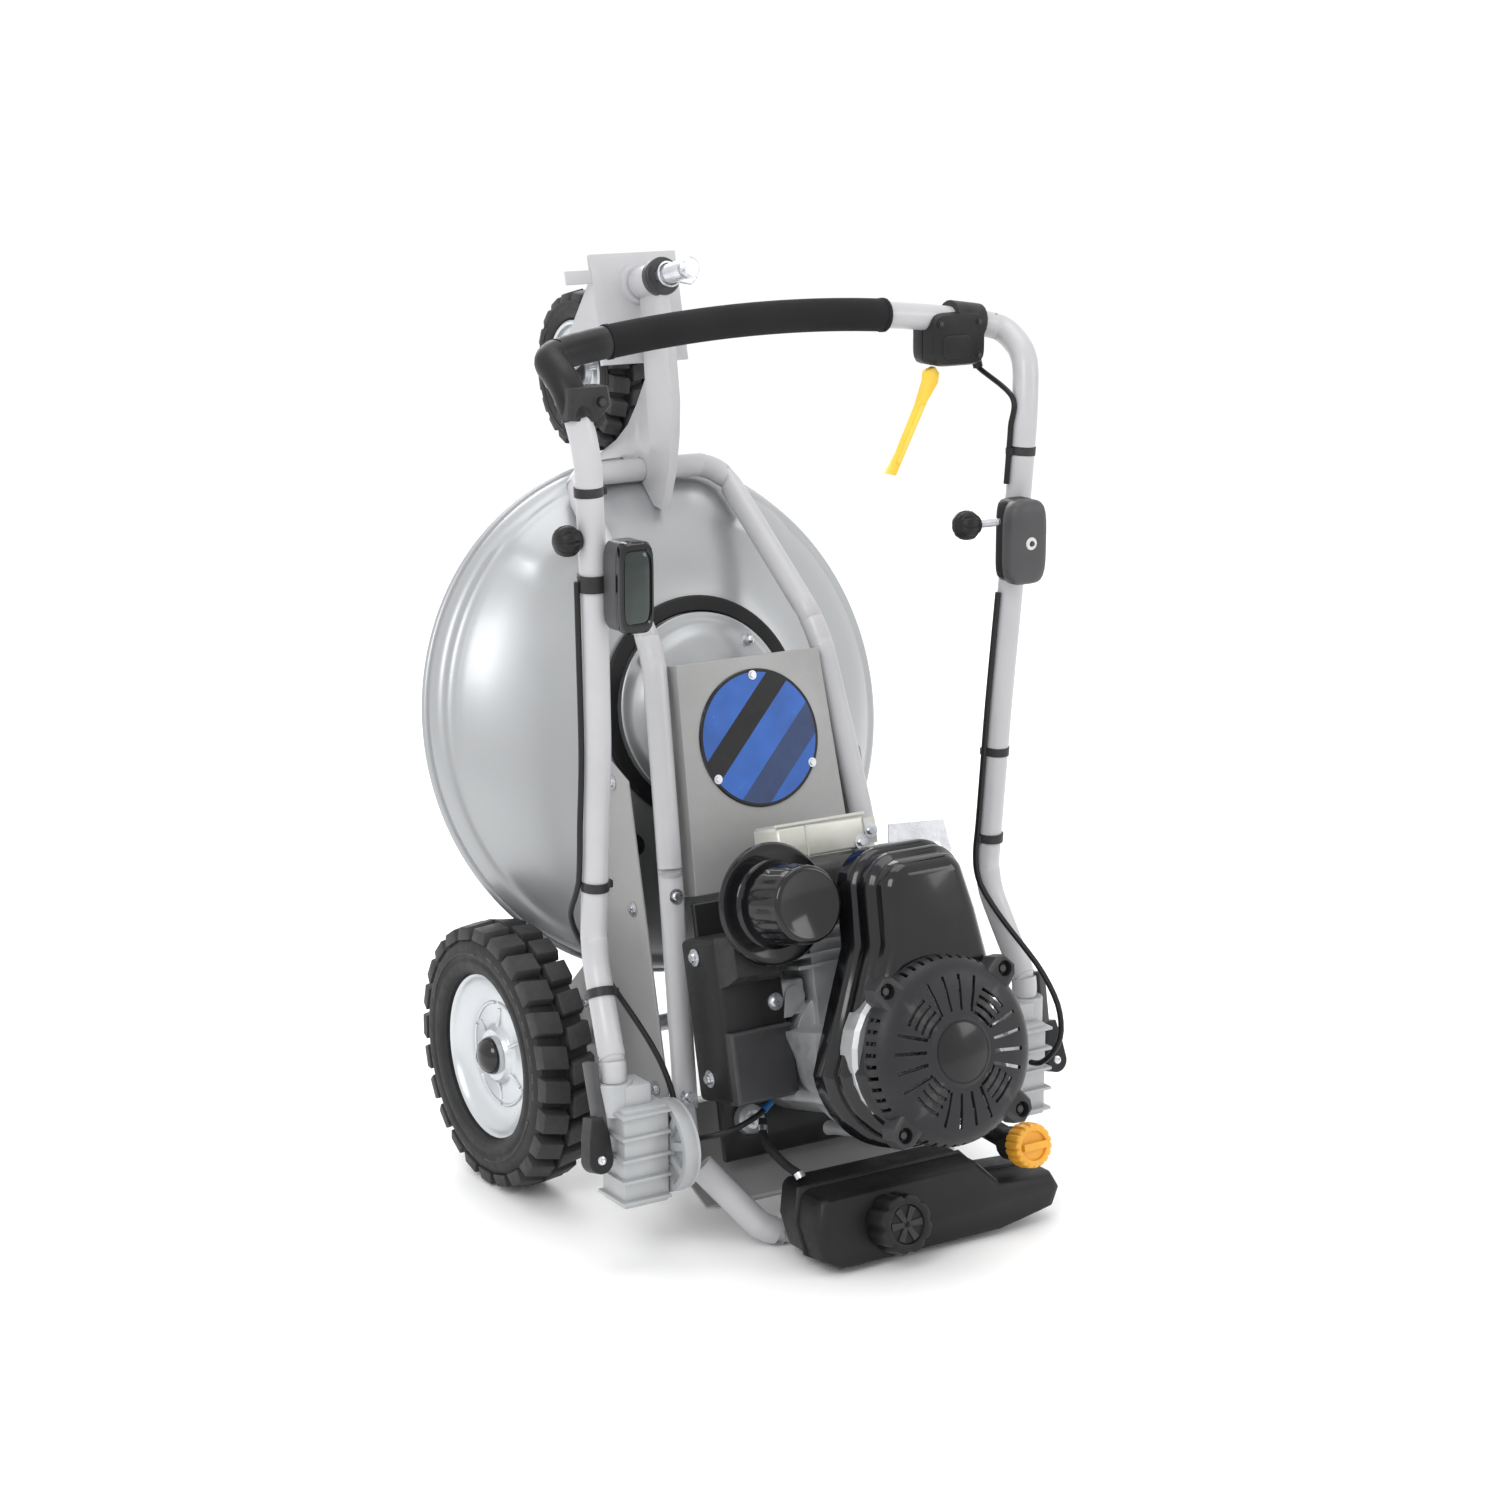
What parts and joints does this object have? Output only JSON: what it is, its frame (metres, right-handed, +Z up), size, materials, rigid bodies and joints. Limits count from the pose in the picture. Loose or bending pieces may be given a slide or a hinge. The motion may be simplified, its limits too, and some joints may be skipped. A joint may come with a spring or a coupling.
{
  "type": "walk behind leaf blower",
  "caption": "Walk-behind leaf blower with a belt-driven fan under a round housing, folding handle and caster front wheel, parked on end.",
  "frame": {"origin": "centre of the box that holds the parked machine, on the floor", "axes": "+Z up, +Y towards the underside of the machine, +X to the machine's right"},
  "size_m": [0.58, 0.774, 0.9529],
  "materials": {
    "belt_rubber": "V-belt rubber",
    "black_gloss": "glossy black shell",
    "black_paint": "black satin paint",
    "black_plastic": "black moulded plastic",
    "cast_alloy": "as-cast alloy",
    "dark_plastic": "dark grey moulded plastic",
    "foam_rubber": "black foam grip",
    "grey_paint": "mid grey satin powder coat",
    "grey_plastic": "mid grey moulded plastic",
    "lever_yellow": "yellow moulded plastic",
    "pale_paint": "pale grey powder coat",
    "silver_paint": "smooth light silver paint",
    "steel": "plain zinc-plated steel",
    "tyre_rubber": "moulded tread rubber",
    "white_steel": "off-white plated sheet",
    "yellow_plastic": "amber moulded plastic"
  },
  "bodies": {
    "chassis": {"air_box": "black_plastic", "air_cleaner_base": "black_gloss", "air_cleaner_cover": "black_gloss", "base_plate": "black_paint", "belt_cover": "grey_paint", "caster_arm": "pale_paint", "drive_belt": "belt_rubber", "engine_block": "cast_alloy", "engine_cable": "black_plastic", "engine_plate": "black_paint", "engine_shroud": "black_gloss", "fan_housing": "silver_paint", "fuel_hose": "black_plastic", "fuel_tank": "black_plastic", "hoop_frame": "pale_paint", "intake_cap": "silver_paint", "intake_ring": "black_plastic", "left_hinge_half": "cast_alloy", "left_side_plate": "grey_paint", "muffler": "black_paint", "muffler_guard": "white_steel", "oil_filler": "black_plastic", "rear_axle": "steel", "rear_panel": "grey_paint", "recoil_cover": "dark_plastic", "right_hinge_half": "cast_alloy", "right_side_plate": "grey_paint", "spindle_housing": "cast_alloy", "stand_bar": "pale_paint"},
    "handle": {"handle_tube": "pale_paint", "handle_grip": "foam_rubber", "control_housing": "black_plastic", "left_handle_bracket": "cast_alloy", "right_handle_bracket": "cast_alloy", "left_pod": "dark_plastic", "right_pod": "grey_plastic", "left_handle_cable": "black_plastic", "right_handle_cable": "black_plastic"},
    "left_lever": {"left_clamp_lever": "black_plastic"},
    "right_lever": {"right_clamp_lever": "black_plastic"},
    "drive_lever": {"drive_lever": "lever_yellow"},
    "left_knob": {"left_knob": "black_plastic"},
    "right_knob": {"right_knob": "black_plastic"},
    "caster": {"caster_fork": "pale_paint", "caster_pin": "steel", "front_axle": "steel"},
    "front_wheel": {"front_tyre": "tyre_rubber", "front_wheel_disc": "silver_paint"},
    "left_wheel": {"left_tyre": "tyre_rubber", "left_wheel_disc": "silver_paint"},
    "right_wheel": {"right_tyre": "tyre_rubber", "right_wheel_disc": "silver_paint"},
    "crank": {"crankshaft": "steel", "engine_pulley": "cast_alloy", "flywheel": "cast_alloy"},
    "fan": {"fan_spindle": "steel", "fan_pulley": "cast_alloy", "impeller": "cast_alloy"},
    "fuel_cap": {"fuel_cap": "black_plastic"},
    "oil_cap": {"oil_cap": "yellow_plastic"}
  },
  "joints": [
    {"name": "handle_fold", "type": "hinge", "parent": "chassis", "child": "handle", "pos_m": [0, -0.18272, 0.118], "axis": [1, 0, 0], "range_deg": [0, 132]},
    {"name": "left_lever_clamp", "type": "hinge", "parent": "handle", "child": "left_lever", "pos_m": [-0.2765, -0.18272, 0.118], "axis": [0, -0.9724, 0.2334], "range_deg": [0, 110]},
    {"name": "right_lever_clamp", "type": "hinge", "parent": "handle", "child": "right_lever", "pos_m": [0.2765, -0.18272, 0.118], "axis": [0, -0.9724, 0.2334], "range_deg": [-110, 0]},
    {"name": "drive_lever_pull", "type": "hinge", "parent": "handle", "child": "drive_lever", "pos_m": [0.18, -0.08122, 0.838], "axis": [0, -1, 0], "range_deg": [-42, 0], "stiffness_Nm_per_rad": 0.6, "springref_deg": 8.59},
    {"name": "left_knob_turn", "type": "hinge", "parent": "handle", "child": "left_knob", "pos_m": [-0.277, -0.13972, 0.718], "axis": [1, 0, 0], "continuous": true},
    {"name": "right_knob_turn", "type": "hinge", "parent": "handle", "child": "right_knob", "pos_m": [0.162, -0.17072, 0.698], "axis": [1, 0, 0], "continuous": true},
    {"name": "caster_swivel", "type": "hinge", "parent": "chassis", "child": "caster", "pos_m": [0, 0.16761, 0.9244], "axis": [0, -0.9724, 0.2334], "continuous": true},
    {"name": "front_wheel_roll", "type": "hinge", "parent": "caster", "child": "front_wheel", "pos_m": [0, 0.29911, 0.81673], "axis": [1, 0, 0], "continuous": true},
    {"name": "left_wheel_roll", "type": "hinge", "parent": "chassis", "child": "left_wheel", "pos_m": [0, 0.08933, 0.14], "axis": [1, 0, 0], "continuous": true},
    {"name": "right_wheel_roll", "type": "hinge", "parent": "chassis", "child": "right_wheel", "pos_m": [0, 0.08933, 0.14], "axis": [1, 0, 0], "continuous": true},
    {"name": "fan_spin", "type": "hinge", "parent": "chassis", "child": "fan", "pos_m": [0, 0.10099, 0.47555], "axis": [0, -0.9724, 0.2334], "continuous": true},
    {"name": "crank_spin", "type": "hinge", "parent": "chassis", "child": "crank", "pos_m": [0, -0.17519, 0.18191], "axis": [0, -0.9724, 0.2334], "continuous": true},
    {"name": "fuel_cap_turn", "type": "hinge", "parent": "chassis", "child": "fuel_cap", "pos_m": [-0.02, -0.326, 0.04637], "axis": [0, -0.9724, 0.2334], "continuous": true},
    {"name": "oil_cap_turn", "type": "hinge", "parent": "chassis", "child": "oil_cap", "pos_m": [0.15, -0.31087, 0.08799], "axis": [0, -0.9724, 0.2334], "continuous": true}
  ],
  "couplings": [
    {"joint": "crank_spin", "follows": "fan_spin", "ratio": 1.2}
  ]
}
